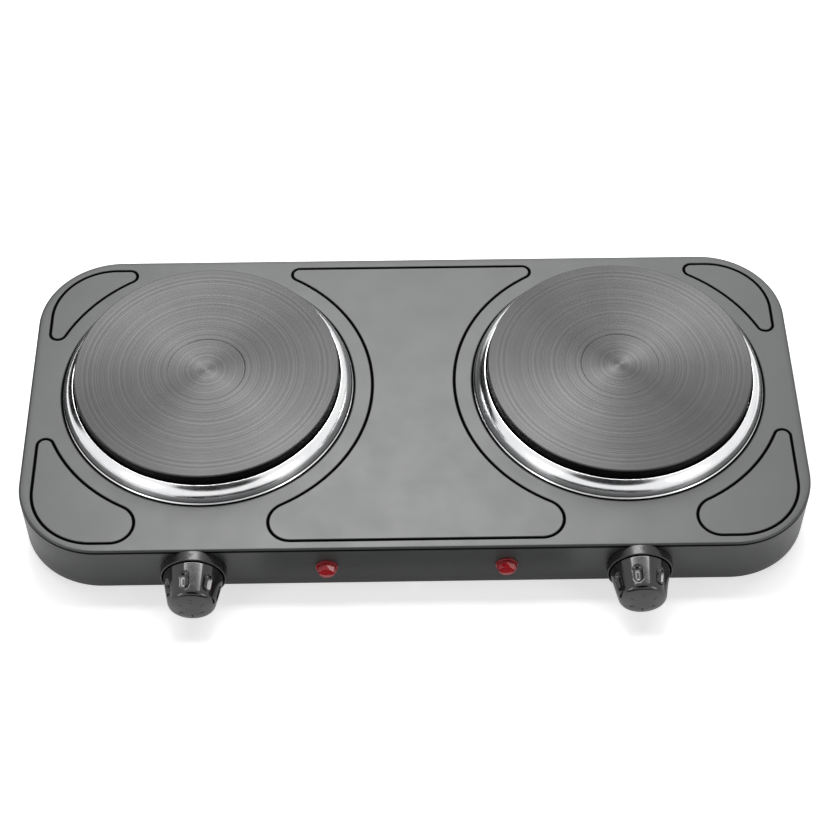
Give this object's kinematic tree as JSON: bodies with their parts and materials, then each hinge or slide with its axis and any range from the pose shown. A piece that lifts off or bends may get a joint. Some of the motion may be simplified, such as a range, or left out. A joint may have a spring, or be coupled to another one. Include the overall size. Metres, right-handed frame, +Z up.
{
  "type": "double electric hot plate",
  "caption": "Free-standing electric hot plate with cast-iron discs in chromed rings on a pressed steel housing, fluted front knobs and red pilot lamps.",
  "frame": {"origin": "centre of the overall footprint, from the knobs' faces to the cord gland, on the surface that the rubber feet stand on", "axes": "+X to the cook's right along the long side, +Y from the knobs to the back, +Z up"},
  "size_m": [0.54, 0.2986, 0.0695],
  "materials": {
    "housing_paint": "satin black-grey baked enamel on pressed steel",
    "base_paint": "matt black powder coat on sheet steel",
    "ring_chrome": "bright chromium plating on pressed steel",
    "plate_iron": "turned grey iron, heat-blackened",
    "coil_alloy": "oxidised resistance alloy",
    "coil_cement": "packed magnesia cement",
    "shield_sheet": "mill-finish aluminised sheet",
    "zinc_steel": "zinc-plated steel",
    "bright_steel": "drawn bright steel",
    "spring_steel": "blued spring steel",
    "knob_phenolic": "gloss black moulded phenolic",
    "collar_phenolic": "black moulded phenolic",
    "cam_nylon": "natural moulded nylon",
    "case_phenolic": "brown moulded phenolic",
    "bimetal_strip": "rolled bimetal strip",
    "brass_parts": "bright brass",
    "lens_red": "clear red moulded polycarbonate",
    "neon_glass": "clear glass bulb",
    "lead_sleeve": "woven glass-fibre sleeving",
    "foot_rubber": "moulded black rubber",
    "gland_nylon": "black moulded nylon",
    "steatite": "unglazed steatite porcelain"
  },
  "bodies": {
    "casing": {"top_housing": "housing_paint", "base_plate": "base_paint", "base_screws": "zinc_steel", "rubber_feet": "foot_rubber", "foot_screws": "zinc_steel", "plate_nuts": "zinc_steel", "regulator_screws": "zinc_steel", "follower_pins": "zinc_steel", "lamp_clips": "spring_steel", "cord_gland": "gland_nylon", "gland_nut": "gland_nylon", "terminal_block": "steatite", "terminal_screws": "brass_parts", "block_screw": "zinc_steel", "earth_screw": "zinc_steel", "supply_leads": "lead_sleeve", "left_trim_ring": "ring_chrome", "left_hotplate": "plate_iron", "left_heating_coil": "coil_alloy", "left_coil_cement": "coil_cement", "left_heat_shield": "shield_sheet", "left_clamp_bridge": "zinc_steel", "left_plate_stud": "zinc_steel", "left_knob_collar": "collar_phenolic", "left_regulator_body": "case_phenolic", "left_bimetal": "bimetal_strip", "left_regulator_terminals": "brass_parts", "left_lamp_lens": "lens_red", "left_lamp_neon": "neon_glass", "left_plate_leads": "lead_sleeve", "left_lamp_leads": "lead_sleeve", "right_trim_ring": "ring_chrome", "right_hotplate": "plate_iron", "right_heating_coil": "coil_alloy", "right_coil_cement": "coil_cement", "right_heat_shield": "shield_sheet", "right_clamp_bridge": "zinc_steel", "right_plate_stud": "zinc_steel", "right_knob_collar": "collar_phenolic", "right_regulator_body": "case_phenolic", "right_bimetal": "bimetal_strip", "right_regulator_terminals": "brass_parts", "right_lamp_lens": "lens_red", "right_lamp_neon": "neon_glass", "right_plate_leads": "lead_sleeve", "right_lamp_leads": "lead_sleeve"},
    "left_dial": {"left_knob": "knob_phenolic", "left_knob_spring": "spring_steel", "left_spindle": "bright_steel", "left_cam": "cam_nylon"},
    "left_follower": {"left_cam_follower": "bright_steel"},
    "right_dial": {"right_knob": "knob_phenolic", "right_knob_spring": "spring_steel", "right_spindle": "bright_steel", "right_cam": "cam_nylon"},
    "right_follower": {"right_cam_follower": "bright_steel"}
  },
  "joints": [
    {"name": "left_knob_turn", "type": "hinge", "parent": "casing", "child": "left_dial", "pos_m": [-0.15, -0.117, 0.0277], "axis": [0, 1, 0], "range_deg": [0, 300]},
    {"name": "left_follower_swing", "type": "hinge", "parent": "casing", "child": "left_follower", "pos_m": [-0.1425, -0.105, 0.0167], "axis": [0, 1, 0], "range_deg": [-8, 0]},
    {"name": "right_knob_turn", "type": "hinge", "parent": "casing", "child": "right_dial", "pos_m": [0.15, -0.117, 0.0277], "axis": [0, 1, 0], "range_deg": [0, 300]},
    {"name": "right_follower_swing", "type": "hinge", "parent": "casing", "child": "right_follower", "pos_m": [0.1575, -0.105, 0.0167], "axis": [0, 1, 0], "range_deg": [-8, 0]}
  ],
  "couplings": [
    {"joint": "left_follower_swing", "follows": "left_knob_turn", "ratio": -0.025465},
    {"joint": "right_follower_swing", "follows": "right_knob_turn", "ratio": -0.025465}
  ]
}
